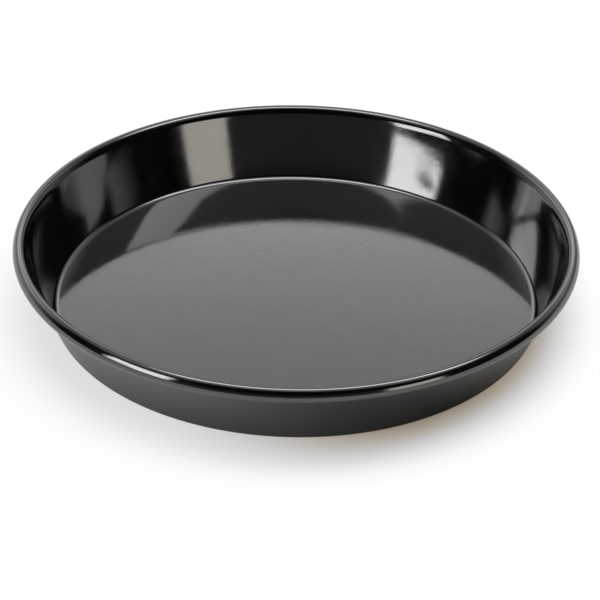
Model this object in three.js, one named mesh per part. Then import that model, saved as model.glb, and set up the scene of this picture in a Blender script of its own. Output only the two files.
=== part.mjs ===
// A round pizza pan of enamelled sheet steel: one pressed steel body with a rolled rim, and a fired
// enamel coat on each of its two faces. Millimetres, +Z up, origin on the ground under the floor's middle.
import * as THREE from 'three';

// Overall sizes, measured on the enamel.
const RIM_DIAMETER = 300;
const HEIGHT = 41.5;
const BEAD_DIAMETER = 6.8;
const FLOOR_FILLET = 2.4;
const WALL_LEAN_DEGREES = 19.8;

// The sheet and its coats.
const STEEL_THICKNESS = 0.7;
const ENAMEL_THICKNESS = 0.2;
const COAT_HAIRLINE = 0.01;

// The slit under the bead, between the tucked edge of the roll and the coat on the wall.
const SEAM_GAP = 0.3;

// Facets round the axis, and the widest turn of one facet along the fillet and the roll.
const SEGMENTS = 72;
const ARC_STEP_DEGREES = 25;

// Sizes of the steel's inside face, which the coats and the sheet's other face are offset from.
const lean = THREE.MathUtils.degToRad(WALL_LEAN_DEGREES);
const upNormal = Math.PI / 2;
const wallNormal = Math.PI - lean;
const outNormal = 0;
const floorLevel = ENAMEL_THICKNESS + STEEL_THICKNESS;
const filletRadius = FLOOR_FILLET + ENAMEL_THICKNESS;
const beadRadius = BEAD_DIAMETER / 2;
const steelBeadRadius = beadRadius - ENAMEL_THICKNESS;
const hollowRadius = steelBeadRadius - STEEL_THICKNESS;
const beadCentre = new THREE.Vector2(RIM_DIAMETER / 2 - beadRadius, HEIGHT - beadRadius);

// The fillet touches the floor and the wall, and the wall is tangent to the bead.
const filletLevel = floorLevel + filletRadius;
const floorRadius = beadCentre.x
  - (steelBeadRadius + filletRadius) / Math.cos(lean)
  - (beadCentre.y - filletLevel) * Math.tan(lean);
const filletCentre = new THREE.Vector2(floorRadius, filletLevel);

// The roll turns from the wall over the top and back underneath, until only the seam gap is left
// to the coat on the wall.
const wallCoatDistance = hollowRadius - ENAMEL_THICKNESS;
const tuckAngle = Math.acos((wallCoatDistance - SEAM_GAP) / beadRadius);
const tailNormal = wallNormal + tuckAngle - 2 * Math.PI;

// A station is a point of the steel's inside face in radius and height, with the angle of its normal.
function station(radius, height, normal) {
  return { point: new THREE.Vector2(radius, height), normal };
}

// Stations along an arc from one normal to another. A negative radius makes it hollow instead of domed.
function arc(centre, radius, fromNormal, toNormal) {
  const turn = THREE.MathUtils.radToDeg(Math.abs(toNormal - fromNormal));
  const steps = Math.ceil(turn / ARC_STEP_DEGREES);
  return Array.from({ length: steps + 1 }, (_, step) => {
    const normal = THREE.MathUtils.lerp(fromNormal, toNormal, step / steps);
    return station(
      centre.x + radius * Math.cos(normal),
      centre.y + radius * Math.sin(normal),
      normal,
    );
  });
}

// The stations moved along their normals.
function face(stations, offset) {
  return stations.map(({ point, normal }) => new THREE.Vector2(
    point.x + offset * Math.cos(normal),
    point.y + offset * Math.sin(normal),
  ));
}

// The solid of revolution between two offsets of the same stations, with its axis along Z.
function layer(name, stations, lowOffset, highOffset, material) {
  const outline = [...face(stations, lowOffset), ...face(stations, highOffset).reverse()];
  const geometry = new THREE.LatheGeometry(outline, SEGMENTS);
  geometry.rotateX(Math.PI / 2);
  const mesh = new THREE.Mesh(geometry, material);
  mesh.name = name;
  return mesh;
}

// Floor middle, fillet and foot of the wall, which both faces share.
const floorStations = [
  station(0, floorLevel, upNormal),
  ...arc(filletCentre, -filletRadius, upNormal, wallNormal),
];

// The whole sheet: the wall is the straight run between the fillet and the roll, which has stations
// at its top and at its outermost point, where the pan's height and diameter are measured.
const beadStations = [
  ...arc(beadCentre, steelBeadRadius, wallNormal, upNormal),
  ...arc(beadCentre, steelBeadRadius, upNormal, outNormal).slice(1),
  ...arc(beadCentre, steelBeadRadius, outNormal, tailNormal).slice(1),
];
const sheetStations = [...floorStations, ...beadStations];

// The outer coat ends on the wall just inside the seam, level with the inner corner of the tucked edge.
const wallTop = beadStations[0].point;
const coatDrop = hollowRadius * Math.sin(tuckAngle);
const outerStations = [
  ...floorStations,
  station(wallTop.x - coatDrop * Math.sin(lean), wallTop.y - coatDrop * Math.cos(lean), wallNormal),
];

const bareSteel = new THREE.MeshStandardMaterial({ color: 0x6c6e70, roughness: 0.55, metalness: 1 });
const glossBlackEnamel = new THREE.MeshStandardMaterial({ color: 0x0a0b0a, roughness: 0.05, metalness: 0 });
const satinBlackEnamel = new THREE.MeshStandardMaterial({ color: 0x121312, roughness: 0.15, metalness: 0 });

const pan = new THREE.Group();
pan.name = 'pizza_pan';
pan.add(
  layer('steel_pan', sheetStations, -STEEL_THICKNESS, 0, bareSteel),
  layer('inner_enamel', sheetStations, COAT_HAIRLINE, ENAMEL_THICKNESS, glossBlackEnamel),
  layer(
    'outer_enamel',
    outerStations,
    -STEEL_THICKNESS - ENAMEL_THICKNESS,
    -STEEL_THICKNESS - COAT_HAIRLINE,
    satinBlackEnamel,
  ),
);

export default pan;
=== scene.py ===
"""A round pizza pan of black enamelled sheet steel on a white ground, in metres, in the frame of the solids."""
import math

import bpy
import numpy as np
from mathutils import Matrix, Vector


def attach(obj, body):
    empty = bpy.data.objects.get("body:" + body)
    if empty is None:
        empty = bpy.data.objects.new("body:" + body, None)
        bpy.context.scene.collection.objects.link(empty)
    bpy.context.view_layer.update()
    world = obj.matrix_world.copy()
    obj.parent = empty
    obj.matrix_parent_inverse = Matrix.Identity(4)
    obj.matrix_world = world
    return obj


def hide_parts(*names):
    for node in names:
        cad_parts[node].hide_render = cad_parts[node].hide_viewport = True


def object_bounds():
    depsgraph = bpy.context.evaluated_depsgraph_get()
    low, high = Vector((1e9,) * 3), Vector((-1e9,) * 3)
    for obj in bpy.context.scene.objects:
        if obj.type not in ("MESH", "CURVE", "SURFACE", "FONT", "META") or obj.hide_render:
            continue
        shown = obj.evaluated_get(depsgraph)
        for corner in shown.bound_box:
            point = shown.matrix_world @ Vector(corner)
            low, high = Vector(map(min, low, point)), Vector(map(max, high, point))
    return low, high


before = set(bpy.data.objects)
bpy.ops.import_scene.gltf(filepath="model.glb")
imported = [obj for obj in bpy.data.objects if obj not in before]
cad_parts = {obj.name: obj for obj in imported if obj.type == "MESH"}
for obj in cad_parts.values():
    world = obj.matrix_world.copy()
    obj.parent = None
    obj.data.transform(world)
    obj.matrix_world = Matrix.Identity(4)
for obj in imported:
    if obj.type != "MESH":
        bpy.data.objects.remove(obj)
cad_low, cad_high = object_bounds()

# Sizes of the pan. The rim and the height come from the solids. The pressing leaves the wall with a slight
# belly, so its lean falls from foot to top, and a faint neck where the roll begins.
RIM_RADIUS = cad_high.x
HEIGHT = cad_high.z
FLOOR_FILLET = 0.0034
FLOOR_DISH = 0.0005
DISH_FADE = 0.012
LEAN_FOOT = math.radians(22.4)
LEAN_TOP = math.radians(17.2)
NECK_LEAN = math.radians(0.8)
NECK_DROP = 0.0025
NECK_WIDTH = 0.004
STEEL = 0.0007
ENAMEL = 0.0002
HAIRLINE = 0.00001
SEAM_GAP = 0.0003

# The roll's radius of turning, by the angle of its normal: tight over the top, wider underneath, and with a
# bell of extra radius at the flatter face outside the top and at the slow curl where it leaves the wall.
ROLL_TOP = 0.0025
ROLL_UNDER = 0.0030
UNDER_NORMAL = math.radians(10)
UNDER_SPREAD = math.radians(8)
FACE_EXTRA = 0.0045
FACE_NORMAL = math.radians(28)
FACE_SPREAD = math.radians(14)
CURL_EXTRA = 0.0075
CURL_NORMAL = math.radians(155)
CURL_SPREAD = math.radians(15)
ROLL_END = math.radians(-170)

# Steps in which the roll and the wall are summed up.
ROLL_STATIONS = 4000
WALL_STATIONS = 400

# Steps of the surfaces: round the axis, and along the fillet and the roll of the shown and the hidden faces.
TURNS = 360
FINE_FILLET = 20
FINE_ROLL = 84
PLAIN_FILLET = 6
PLAIN_ROLL = 28

# The angle past which an edge stays crisp.
CRISP_ANGLE = math.radians(40)

# Where the camera stands and how it is turned, for a square picture.
CAMERA_BACK = 0.89424
CAMERA_UP = 0.56519
CAMERA_YAW = math.radians(0.155)
CAMERA_PITCH = math.radians(-32.406)
CAMERA_ROLL = math.radians(0.952)
CAMERA_LENS = 116.932
CAMERA_SENSOR = 36.0
CAMERA_NEAREST = 0.01


class Signal:
    """A socket of a shader tree. Sums, differences and products of signals and numbers add Math nodes."""

    def __init__(self, tree, socket=None):
        self.tree = tree
        self.socket = socket

    def node(self, kind, settings=None, sockets=None, out=0):
        """Adds any node: first its settings, then the values or links of its inputs. Gives one output."""
        made = self.tree.nodes.new(kind)
        for name, value in (settings or {}).items():
            setattr(made, name, value)
        for key, value in (sockets or {}).items():
            if isinstance(value, Signal):
                self.tree.links.new(value.socket, made.inputs[key])
            else:
                made.inputs[key].default_value = value
        return Signal(self.tree, made.outputs[out] if made.outputs else None)

    def math(self, operation, *terms):
        """A Math node of one or two signals or numbers."""
        return self.node("ShaderNodeMath", {"operation": operation}, dict(enumerate(terms)))

    def __add__(self, other):
        return self.math("ADD", self, other)

    __radd__ = __add__

    def __sub__(self, other):
        return self.math("SUBTRACT", self, other)

    def __rsub__(self, other):
        return self.math("SUBTRACT", other, self)

    def __mul__(self, other):
        return self.math("MULTIPLY", self, other)

    __rmul__ = __mul__


def blank_tree(owner):
    """An emptied node tree of a material, a lamp or the world, ready for new nodes."""
    owner.use_nodes = True
    owner.node_tree.nodes.clear()
    return Signal(owner.node_tree)


def smooth(tree, value, low, high, bottom=0.0, top=1.0):
    """Goes smoothly from bottom to top while the value goes from low to high."""
    return tree.node(
        "ShaderNodeMapRange",
        {"interpolation_type": "SMOOTHSTEP"},
        {"Value": value, "From Min": low, "From Max": high, "To Min": bottom, "To Max": top},
    )


def blend_colour(tree, amount, first, second):
    """The first colour where the amount is 0, the second where it is 1."""
    return tree.node("ShaderNodeMix", {"data_type": "RGBA"}, {0: amount, 6: first, 7: second}, out=2)


def blend_shaders(tree, amount, first, second):
    """The first shader where the amount is 0, the second where it is 1."""
    return tree.node("ShaderNodeMixShader", None, {0: amount, 1: first, 2: second})


def object_place(tree):
    """The place of a point of the surface, in the object's own metres."""
    return tree.node("ShaderNodeTexCoord", out="Object")


def grain(tree, place, size, detail, rough=0.5, offset=(0.0, 0.0, 0.0)):
    """Soft noise from 0 to 1 whose lumps are about as wide as size, in metres."""
    moved = tree.node("ShaderNodeMapping", None, {"Vector": place, "Location": offset})
    return tree.node(
        "ShaderNodeTexNoise",
        None,
        {"Vector": moved, "Scale": 1.0 / size, "Detail": detail, "Roughness": rough},
    )


def part_of(tree, vector, which):
    """The x, y or z part of a vector, by its number."""
    return tree.node("ShaderNodeSeparateXYZ", None, {0: vector}, out=which)


# Surfaces


def arc_path(centre, radius, start, end, steps):
    """Points at radius times the unit normal from the centre, as the normal's angle goes from start to end."""
    normal = np.linspace(start, end, steps + 1)
    return np.stack(
        [centre[0] + radius * np.cos(normal), centre[1] + radius * np.sin(normal), normal], axis=1
    )


def moved_out(path, offset):
    """Each point of a path moved along its normal by the offset."""
    return path[:, :2] + offset * np.stack([np.cos(path[:, 2]), np.sin(path[:, 2])], axis=1)


def roll_radius(normal):
    """The roll's radius of turning where its normal has this angle: the sum of a step and two bells."""
    under = 1 / (1 + np.exp((normal - UNDER_NORMAL) / UNDER_SPREAD))
    face = FACE_EXTRA * np.exp(-(((normal - FACE_NORMAL) / FACE_SPREAD) ** 2))
    curl = CURL_EXTRA * np.exp(-(((normal - CURL_NORMAL) / CURL_SPREAD) ** 2))
    return ROLL_TOP + (ROLL_UNDER - ROLL_TOP) * under + face + curl


def roll_path(start, steps):
    """Points of the roll, as its normal turns from the wall's over the top and back underneath.

    Each step goes at right angles to the normal, by the radius of turning times the turn. The whole is then
    moved so that its enamel touches the rim's radius and the pan's height, and it ends where only the seam is
    left to the coat on the wall.
    """
    normal = np.linspace(start, ROLL_END, ROLL_STATIONS)
    middle = (normal[1:] + normal[:-1]) / 2
    run = roll_radius(middle) * (normal[0] - normal[1])
    radius = np.concatenate([[0], np.cumsum(run * np.sin(middle))])
    height = np.concatenate([[0], np.cumsum(-run * np.cos(middle))])
    back = normal[::-1]
    radius += RIM_RADIUS - ENAMEL - np.interp(0.0, back, radius[::-1])
    height += HEIGHT - ENAMEL - np.interp(math.pi / 2, back, height[::-1])
    face = moved_out(np.stack([radius, height, normal], axis=1), ENAMEL)
    from_wall = -(face - [radius[0], height[0]]) @ [math.cos(start), math.sin(start)]
    closed = (normal < -math.pi / 2) & (from_wall < STEEL + ENAMEL + SEAM_GAP)
    shown = np.linspace(start, normal[closed][0], steps + 1)
    return np.stack(
        [np.interp(shown, back, radius[::-1]), np.interp(shown, back, height[::-1]), shown], axis=1
    )


def wall_lean(share):
    """The wall's lean by its share of the climb: a straight fall from foot to top, less a bell at the neck."""
    below_top = (1 - share) * HEIGHT
    bell = np.exp(-(((below_top - NECK_DROP) / NECK_WIDTH) ** 2))
    return LEAN_FOOT + (LEAN_TOP - LEAN_FOOT) * share - NECK_LEAN * bell


def sheet_path(floor_places, fillet_steps, wall_places, roll_steps):
    """The steel's inside face in half section: rows of radius, height and normal angle.

    It runs flat from the axis, turns up along a hollow arc, climbs the wall, and rolls outwards until only the
    seam is left to the wall. Going down the wall from the roll, each step goes inwards by its drop times the
    tangent of the lean there. The places are shares of the floor and of the wall. Last comes the share of the
    wall that the outer coat covers, up to the level of the inner corner of the tucked edge.
    """
    up = math.pi / 2
    level = ENAMEL + STEEL
    fillet = FLOOR_FILLET + ENAMEL
    roll = roll_path(math.pi - wall_lean(1.0), roll_steps)

    share = np.linspace(1.0, 0.0, WALL_STATIONS)
    height = level + share * (roll[0, 1] - level)
    lean = wall_lean(share)
    middle_lean = (lean[1:] + lean[:-1]) / 2
    radius = roll[0, 0] + np.concatenate([[0], np.cumsum(np.diff(height) * np.tan(middle_lean))])
    foot_lean = lean[-1]
    floor_radius = radius[-1] - fillet * math.tan((math.pi / 2 - foot_lean) / 2)

    places = np.asarray(floor_places)
    floor = np.stack(
        [floor_radius * places, np.full(len(places), level), np.full(len(places), up)], axis=1
    )
    turn_up = arc_path((floor_radius, level + fillet), -fillet, up, math.pi - foot_lean, fillet_steps)
    foot = (turn_up[-1, 1] - level) / (roll[0, 1] - level)
    climb_share = foot + (1 - foot) * np.asarray(wall_places)
    climb = np.stack(
        [
            np.interp(climb_share, share[::-1], radius[::-1]),
            np.interp(climb_share, share[::-1], height[::-1]),
            math.pi - wall_lean(climb_share),
        ],
        axis=1,
    )
    coat_top = roll[-1, 1] - STEEL * math.sin(roll[-1, 2])
    coat_share = (coat_top - turn_up[-1, 1]) / (roll[0, 1] - turn_up[-1, 1])
    return floor, turn_up, climb, roll, coat_share


def dished(face, floor_radius):
    """The enamel's face lifted by the dish: by the square of the radius on the floor, fading out up the wall."""
    radius, height = face.T
    lift = FLOOR_DISH * np.minimum(radius / floor_radius, 1) ** 2
    climbed = np.clip((height - height[0]) / DISH_FADE, 0, 1)
    return np.stack([radius, height + lift * (1 - climbed) ** 2], axis=1)


def turned_piece(name, outline, material):
    """Carries a half section round the Z axis: (r, z) at turn t lies at (r cos t, r sin t, z).

    The outline starts and ends on the axis, where one vertex closes each pole.
    """
    turn = np.arange(TURNS) * (2 * math.pi / TURNS)
    radius, height = outline[1:-1].T
    rings = np.stack(
        [
            np.outer(radius, np.cos(turn)),
            np.outer(radius, np.sin(turn)),
            np.repeat(height[:, None], TURNS, axis=1),
        ],
        axis=-1,
    )
    poles = np.array([[0, 0, outline[0, 1]], [0, 0, outline[-1, 1]]])
    points = np.vstack([rings.reshape(-1, 3), poles])
    here = np.arange(rings.shape[0] * TURNS).reshape(-1, TURNS)
    after = np.roll(here, -1, axis=1)
    quads = np.stack([here[:-1], here[1:], after[1:], after[:-1]], axis=-1).reshape(-1, 4)
    top = np.stack([np.full(TURNS, here.size), here[0], after[0]], axis=-1)
    bottom = np.stack([np.full(TURNS, here.size + 1), after[-1], here[-1]], axis=-1)
    mesh = bpy.data.meshes.new(name)
    mesh.from_pydata(points.tolist(), [], quads.tolist() + top.tolist() + bottom.tolist())
    mesh.shade_smooth()
    mesh.set_sharp_from_angle(angle=CRISP_ANGLE)
    mesh.materials.append(material)
    piece = bpy.data.objects.new(name, mesh)
    bpy.context.scene.collection.objects.link(piece)
    return piece


# Finishes

ENAMEL_IOR = 2.0


def surface(tree, height, sockets):
    """A shader with these sockets, bumped by a height in metres, as the material's surface."""
    bumped = tree.node("ShaderNodeBump", None, {"Strength": 1.0, "Distance": 1.0, "Height": height})
    shader = tree.node("ShaderNodeBsdfPrincipled", None, {**sockets, "Normal": bumped})
    tree.node("ShaderNodeOutputMaterial", None, {"Surface": shader})


def enamel(name, ripple, peel, haze, tone, roughness, blacks):
    """Black glass fused to the sheet: a mirror with a faint orange peel and a slow ripple of the pressing.

    The ripple and the peel each have the width and the height of their lumps. The haze, which sets the
    roughness, and the tone, which sets the black, each have the width of their patches and a place in the noise.
    """
    material = bpy.data.materials.new(name)
    tree = blank_tree(material)
    place = object_place(tree)
    ripples = grain(tree, place, ripple[0], detail=1.0)
    peels = grain(tree, place, peel[0], detail=2.0)
    hazes = grain(tree, place, haze[0], detail=4.0, rough=0.6, offset=haze[1])
    tones = grain(tree, place, tone[0], detail=3.0, offset=tone[1])
    sockets = {
        "Base Color": blend_colour(tree, smooth(tree, tones, 0.3, 0.7), *blacks),
        "Roughness": smooth(tree, hazes, 0.35, 0.75, *roughness),
        "IOR": ENAMEL_IOR,
    }
    surface(tree, peels * peel[1] + ripples * ripple[1], sockets)
    return material


def bare_steel():
    """Cold-rolled sheet with a fine rolling grain, darkened a little by the firing."""
    material = bpy.data.materials.new("bare_cold_rolled_steel")
    tree = blank_tree(material)
    place = object_place(tree)
    stretched = tree.node("ShaderNodeMapping", None, {"Vector": place, "Scale": (1.0, 0.06, 1.0)})
    lines = grain(tree, stretched, 0.0006, detail=3.0)
    scale = smooth(tree, grain(tree, place, 0.008, detail=3.0), 0.35, 0.7)
    sockets = {
        "Base Color": blend_colour(tree, scale, (0.36, 0.36, 0.37, 1), (0.20, 0.19, 0.19, 1)),
        "Roughness": smooth(tree, lines, 0.3, 0.7, 0.38, 0.55),
        "Metallic": 1.0,
    }
    surface(tree, lines * 0.000004, sockets)
    return material


gloss_enamel = enamel(
    "gloss_black_enamel",
    ripple=(0.030, 0.000008),
    peel=(0.0045, 0.000014),
    haze=(0.012, (0.3, 0.1, 0.2)),
    tone=(0.045, (0.7, 0.2, 0.4)),
    roughness=(0.07, 0.11),
    blacks=((0.0018, 0.0020, 0.0017, 1), (0.0035, 0.0038, 0.0032, 1)),
)

# Outside, the gloss is slightly softer, the peel finer and the ripple higher.
outside_enamel = enamel(
    "outside_black_enamel",
    ripple=(0.025, 0.00003),
    peel=(0.0028, 0.000008),
    haze=(0.009, (0.0, 0.0, 0.0)),
    tone=(0.05, (0.0, 0.0, 0.0)),
    roughness=(0.08, 0.13),
    blacks=((0.0020, 0.0022, 0.0019, 1), (0.0040, 0.0043, 0.0037, 1)),
)


# The pan. The places along the floor and the wall are closer together next to the fillet and the roll.

fine_floor = np.concatenate([np.linspace(0, 0.94, 32), [0.96, 0.975, 0.985, 0.992, 0.997]])
fine_wall = np.concatenate([[0.005, 0.015], np.linspace(0.03, 0.97, 44), [0.985, 0.995]])
plain_floor = np.array([0.0, 0.5, 0.97])
plain_wall = np.linspace(0.04, 0.96, 14)

*shown_runs, coat_share = sheet_path(fine_floor, FINE_FILLET, fine_wall, FINE_ROLL)
shown_face = np.vstack(shown_runs)
floor_edge = shown_runs[1][0, 0]
hidden_face = np.vstack(sheet_path(plain_floor, PLAIN_FILLET, plain_wall, PLAIN_ROLL)[:4])

outer_wall = np.append(fine_wall[:-2], 1.0) * coat_share
outer_face = np.vstack(sheet_path(fine_floor, FINE_FILLET, outer_wall, PLAIN_ROLL)[:3])
plain_outer_wall = np.append(plain_wall, 1.0) * coat_share
outer_hidden = np.vstack(sheet_path(plain_floor, PLAIN_FILLET, plain_outer_wall, PLAIN_ROLL)[:3])

steel_sheet = turned_piece(
    "steel_sheet",
    np.vstack([moved_out(hidden_face, 0.0), moved_out(hidden_face, -STEEL)[::-1]]),
    bare_steel(),
)
inner_coat = turned_piece(
    "inner_coat",
    np.vstack([
        dished(moved_out(shown_face, ENAMEL), floor_edge),
        moved_out(hidden_face, HAIRLINE)[::-1],
    ]),
    gloss_enamel,
)
outer_coat = turned_piece(
    "outer_coat",
    np.vstack([
        moved_out(outer_hidden, -STEEL - HAIRLINE),
        moved_out(outer_face, -STEEL - ENAMEL)[::-1],
    ]),
    outside_enamel,
)

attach(steel_sheet, "root")
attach(inner_coat, "root")
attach(outer_coat, "root")
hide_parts("steel_pan")
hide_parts("inner_enamel")
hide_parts("outer_enamel")


# The stage. A pair of numbers in these values is the range over which something changes.

GROUND_RADIUS = 6.0
GROUND_TURNS = 96

# The ground's matt colours. Near the pan on the right it is darker: painted shade, also seen in the pan's outer
# wall.
GROUND_WHITE = (0.80, 0.79, 0.77, 1)
GROUND_PAINTED_SHADE = (0.32, 0.31, 0.29, 1)
PAINTED_SHADE_SIDE = (-0.02, 0.08)
PAINTED_SHADE_REACH = (0.13, 0.17)

# The share of plain white that the camera sees on the ground: low beside the pan, and full further away. Beside
# the pan this white is painted light, which sets how deep the shadow looks: more at the left than the right.
# Where it is low, it is warm: a painted warm tint in the shadow. Distances are from the pan's axis, moved a
# little to the left.
GROUND_PAINTED_WARMTH = (1.0, 0.80, 0.52, 1)
GROUND_PALE = (1.0, 1.0, 1.0, 1)
GROUND_SHADE = (0.008, 0.0, 0.0)
GROUND_LIFT_LEFT = 0.66
GROUND_LIFT_RIGHT = 0.22
LIFT_SIDE = (-0.08, 0.07)
LIFT_REACH = (0.126, 0.180)
WARM_LIFT = (0.15, 0.55)

# How much of that white the mirrored rays meet: in general, and close to the pan from left to right, at the
# right end and at the foot. Close to the pan this is painted light in the pan's outer wall: brighter at the
# left, darker at the right and at the foot.
MIRRORED_LIFT = 0.30
MIRRORED_LEFT = 0.95
MIRRORED_RIGHT = 0.08
MIRRORED_SIDE = (-0.12, 0.05)
MIRRORED_END = 0.32
END_SIDE = (0.07, 0.13)
MIRRORED_FOOT = 0.2
FOOT_REACH = (0.12, 0.15)
CLOSE_REACH = (0.16, 0.20)

# The room, by the parts of a direction: its rise upwards, its part back from the camera and its part to the
# right. The backdrop is bright at the height that the floor mirrors, and dimmer above, below and at the right.
ROOM_COLOUR = (0.985, 1.0, 0.97, 1)
BACKDROP_BACK = (0.1, 0.6)
BACKDROP_BRIGHT = 1.85
BACKDROP_PLAIN = 0.94
BRIGHT_RISE = (0.46, 0.58)
TOP_SHARE = 0.4
TOP_RISE = (0.58, 0.80)
EDGE_EXTRA = 0.45
EDGE_RISE = (0.498, 0.517)
FOOT_SHARE = 0.3
FOOT_RISE = (0.38, 0.48)
RIGHT_SHARE = 0.55
RIGHT_SIDE = (0.15, 0.45)
MIRRORED_WHITE = 0.55
WHITE_RISE = (0.45, 0.55)

# The ceiling greys upwards and ends in front, where a faint glow is left low down.
CEILING_DARK = 0.01
CEILING_GREY = 0.7
CEILING_RISE = (0.55, 0.90)
CEILING_BACK = (-0.55, -0.35)
FRONT_GLOW = 0.09
FRONT_FORWARD = (0.5, 0.75)
FRONT_RISE = (0.2, 0.4)


def seen_directly(tree):
    """1 for rays from the camera, and 1 for mirrored and see-through rays: two signals."""
    camera = tree.node("ShaderNodeLightPath", out="Is Camera Ray")
    glossy = tree.node("ShaderNodeLightPath", out="Is Glossy Ray")
    through = tree.node("ShaderNodeLightPath", out="Is Transmission Ray")
    return camera, tree.math("MAXIMUM", glossy, through)


def mirrored_times(tree, least):
    """1 for rays that have been mirrored at least so many times."""
    depth = tree.node("ShaderNodeLightPath", out="Glossy Depth")
    return tree.math("GREATER_THAN", depth, least - 0.5)


def ground():
    """A flat disc: points at radius r and turn t, at (r cos t, r sin t, 0). It pales away from the pan."""
    material = bpy.data.materials.new("white_ground")
    tree = blank_tree(material)
    place = object_place(tree)
    from_shade = tree.node("ShaderNodeMapping", None, {"Vector": place, "Location": GROUND_SHADE})
    away = tree.node("ShaderNodeVectorMath", {"operation": "LENGTH"}, {0: from_shade}, out="Value")
    sideways = part_of(tree, place, 0)

    # Painted shade: the matt colour turns darker on the right, near the pan.
    painted_shade_share = smooth(tree, sideways, *PAINTED_SHADE_SIDE) * smooth(tree, away, *PAINTED_SHADE_REACH, 1.0, 0.0)
    white = tree.node("ShaderNodeBsdfDiffuse", None, {"Color": GROUND_WHITE})
    dark = tree.node("ShaderNodeBsdfDiffuse", None, {"Color": GROUND_PAINTED_SHADE})
    matt = blend_shaders(tree, painted_shade_share, white, dark)

    # Painted light: beside the pan the camera sees a glow, stronger at the left than the right and warm where it
    # is low, which lightens and tints the shadow.
    painted_lift_beside = smooth(tree, sideways, *LIFT_SIDE, GROUND_LIFT_LEFT, GROUND_LIFT_RIGHT)
    lift = painted_lift_beside + (1 - painted_lift_beside) * smooth(tree, away, *LIFT_REACH)
    pale = blend_colour(tree, smooth(tree, lift, *WARM_LIFT), GROUND_PAINTED_WARMTH, GROUND_PALE)
    glow = tree.node("ShaderNodeEmission", None, {"Color": pale, "Strength": 1.0})

    # Painted light in the reflections: near the pan, the glow that mirrored rays meet is brighter at the left
    # and darker at the right and at the foot.
    beside = smooth(tree, sideways, *MIRRORED_SIDE, MIRRORED_LEFT, MIRRORED_RIGHT)
    beside = beside + smooth(tree, sideways, *END_SIDE, 0.0, MIRRORED_END)
    beside = beside * smooth(tree, away, *FOOT_REACH, MIRRORED_FOOT, 1.0)
    close = smooth(tree, away, *CLOSE_REACH, 1.0, 0.0)
    mirrored_lift = MIRRORED_LIFT + (beside - MIRRORED_LIFT) * close
    camera, mirrored = seen_directly(tree)
    shown = tree.math("MAXIMUM", camera, mirrored * mirrored_lift) * lift
    tree.node("ShaderNodeOutputMaterial", None, {"Surface": blend_shaders(tree, shown, matt, glow)})

    turn = np.linspace(0, 2 * math.pi, GROUND_TURNS, endpoint=False)
    points = np.stack([np.cos(turn), np.sin(turn), np.zeros_like(turn)], axis=1) * GROUND_RADIUS
    mesh = bpy.data.meshes.new("ground")
    mesh.from_pydata(points.tolist(), [], [list(range(len(points)))])
    mesh.materials.append(material)
    disc = bpy.data.objects.new("ground", mesh)
    bpy.context.scene.collection.objects.link(disc)


def lamp_panel(name, middle, aim, width, tall, radiance, edge, colour=(1, 1, 1), dip=None, mirrors=0):
    """A flat lamp at a point, turned towards the aim.

    It dims over the edge's shares of its width and height. A dip is a dimmer spot: its place across and up, its
    half width and half height in the same shares, and how much of the light it takes away. Rays mirrored fewer
    times than mirrors pass it by.
    """
    lamp = bpy.data.lights.new(name, "AREA")
    lamp.shape = "RECTANGLE"
    lamp.size = width
    lamp.size_y = tall
    lamp.energy = radiance * math.pi * width * tall
    lamp.color = colour
    tree = blank_tree(lamp)
    spot = tree.node("ShaderNodeNewGeometry", out="Parametric")
    across, along = part_of(tree, spot, 0), part_of(tree, spot, 1)
    dim = smooth(tree, across, 0, edge[0]) * smooth(tree, 1 - across, 0, edge[0])
    dim = dim * smooth(tree, along, 0, edge[1]) * smooth(tree, 1 - along, 0, edge[1])
    if dip:
        spot_across, spot_up, half_wide, half_tall, depth = dip
        off_across = (across - spot_across) * (1 / half_wide)
        off_up = (along - spot_up) * (1 / half_tall)
        off = tree.math("SQRT", off_across * off_across + off_up * off_up)
        dim = dim * smooth(tree, off, 0.2, 1.0, 1 - depth, 1.0)
    if mirrors:
        dim = dim * mirrored_times(tree, mirrors)
    shine = tree.node("ShaderNodeEmission", None, {"Color": (1, 1, 1, 1), "Strength": dim})
    tree.node("ShaderNodeOutputLight", None, {"Surface": shine})
    holder = bpy.data.objects.new(name, lamp)
    bpy.context.scene.collection.objects.link(holder)
    facing = Vector(aim) - Vector(middle)
    turned = facing.to_track_quat("-Z", "Y").to_matrix().to_4x4()
    holder.matrix_world = Matrix.Translation(middle) @ turned


def softbox(name, azimuth, near, low, high, **panel):
    """An upright lamp panel: azimuth from the front towards the right, at a distance, between two heights."""
    turn = math.radians(azimuth)
    level = (low + high) / 2
    middle = (near * math.sin(turn), -near * math.cos(turn), level)
    lamp_panel(name, middle, (0, 0, level), tall=high - low, **panel)


def glow_patch(tree, angles, turns, heights, strength):
    """A patch of light in the room: it fades in and out over four turns and four heights, in degrees.

    A turn is from the front towards the right, and a height is above the level.
    """
    patch = strength
    for angle, (start, full, fading, end) in zip(angles, (turns, heights)):
        patch = smooth(tree, angle, math.radians(start), math.radians(full)) * patch
        patch = smooth(tree, angle, math.radians(fading), math.radians(end), 1.0, 0.0) * patch
    return patch


def mirrored_glow(tree, right, back, rise):
    """Three soft patches of light in front, which only rays mirrored more than once meet.

    They stand in for lamps so near to the pan that one wall mirrors them and the other does not. The first is
    a band that brightens towards the middle, and the second is lower at the left. The third is a spot further
    left, which only rays mirrored three times meet.
    """
    angles = tree.math("ARCTAN2", right, -1 * back), tree.math("ARCSINE", rise)
    band = glow_patch(tree, angles, (-42, -2, -9, 0), (27, 29, 35, 38), 3.6)
    low = glow_patch(tree, angles, (-47, -42, -33, -28), (12, 14, 23, 26), 5.0)
    spot = glow_patch(tree, angles, (-80, -74, -46, -40), (25.5, 28, 33, 35.5), 17.0)
    return (band + low) * mirrored_times(tree, 2) + spot * mirrored_times(tree, 3)


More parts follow.
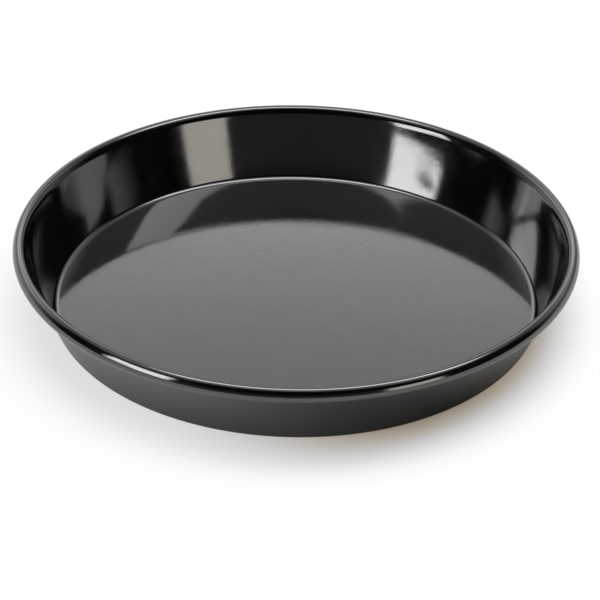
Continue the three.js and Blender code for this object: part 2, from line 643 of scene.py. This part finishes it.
def studio_world():
    """A pale backdrop behind the pan, and above it a dark room that greys towards the ceiling."""
    world = bpy.data.worlds.new("studio")
    bpy.context.scene.world = world
    tree = blank_tree(world)
    direction = tree.node("ShaderNodeTexCoord", out="Generated")
    right, back, rise = (part_of(tree, direction, which) for which in range(3))

    behind = smooth(tree, back, *BACKDROP_BACK) * smooth(tree, right, *RIGHT_SIDE, 1.0, RIGHT_SHARE)
    fade = smooth(tree, rise, *BRIGHT_RISE, BACKDROP_BRIGHT, BACKDROP_PLAIN)
    fade = fade * smooth(tree, rise, *TOP_RISE, 1.0, TOP_SHARE)
    fade = fade + smooth(tree, rise, *EDGE_RISE, EDGE_EXTRA, 0.0)
    fade = fade * smooth(tree, rise, *FOOT_RISE, FOOT_SHARE, 1.0)

    ceiling = smooth(tree, rise, *CEILING_RISE, CEILING_DARK, CEILING_GREY)
    ceiling = ceiling * smooth(tree, back, *CEILING_BACK)
    front = smooth(tree, -1 * back, *FRONT_FORWARD, 0.0, FRONT_GLOW)
    front = front * smooth(tree, rise, *FRONT_RISE, 1.0, 0.0)

    glow = tree.math("MAXIMUM", fade * behind, ceiling + front) + mirrored_glow(tree, right, back, rise)
    camera, mirrored = seen_directly(tree)
    backdrop_white = mirrored * behind * smooth(tree, rise, *WHITE_RISE, MIRRORED_WHITE, 0.0)
    level = tree.math("MAXIMUM", tree.math("MAXIMUM", camera, backdrop_white), glow)
    sky = tree.node("ShaderNodeBackground", None, {"Color": ROOM_COLOUR, "Strength": level})
    tree.node("ShaderNodeOutputWorld", None, {"Surface": sky})


ground()
studio_world()
lamp_panel(
    "overhead_panel",
    middle=(0.21, 0.20, 1.40),
    aim=(0.21, 0.20, 0),
    width=1.68,
    tall=0.50,
    radiance=5.0,
    edge=(0.04, 0.04),
)
softbox(
    "front_left_panel",
    azimuth=-57,
    near=1.3,
    low=0.14,
    high=0.74,
    width=0.68,
    radiance=6.2,
    edge=(0.14, 0.08),
    dip=(0.28, 0.165, 0.28, 0.10, 0.85),
)
softbox(
    "front_right_panel",
    azimuth=42.6,
    near=1.3,
    low=0.05,
    high=0.47,
    width=0.54,
    radiance=2.5,
    edge=(0.14, 0.08),
    colour=(1.0, 0.95, 0.86),
)
lamp_panel(
    "near_panel",
    middle=(0.264, -0.340, 0.2225),
    aim=(0.086, 0.040, 0.2225),
    width=0.53,
    tall=0.165,
    radiance=5.2,
    edge=(0.06, 0.06),
    dip=(0.85, 0.3, 0.40, 1.2, 0.72),
    mirrors=2,
)

# The camera

lens = bpy.data.cameras.new("camera")
lens.lens = CAMERA_LENS
lens.sensor_width = CAMERA_SENSOR
lens.clip_start = CAMERA_NEAREST
camera = bpy.data.objects.new("camera", lens)
bpy.context.scene.collection.objects.link(camera)
camera.matrix_world = (
    Matrix.Translation((0, -CAMERA_BACK, CAMERA_UP))
    @ Matrix.Rotation(-CAMERA_YAW, 4, "Z")
    @ Matrix.Rotation(math.pi / 2 + CAMERA_PITCH, 4, "X")
    @ Matrix.Rotation(CAMERA_ROLL, 4, "Z")
)
bpy.context.scene.camera = camera
bpy.context.scene.view_settings.view_transform = "Standard"
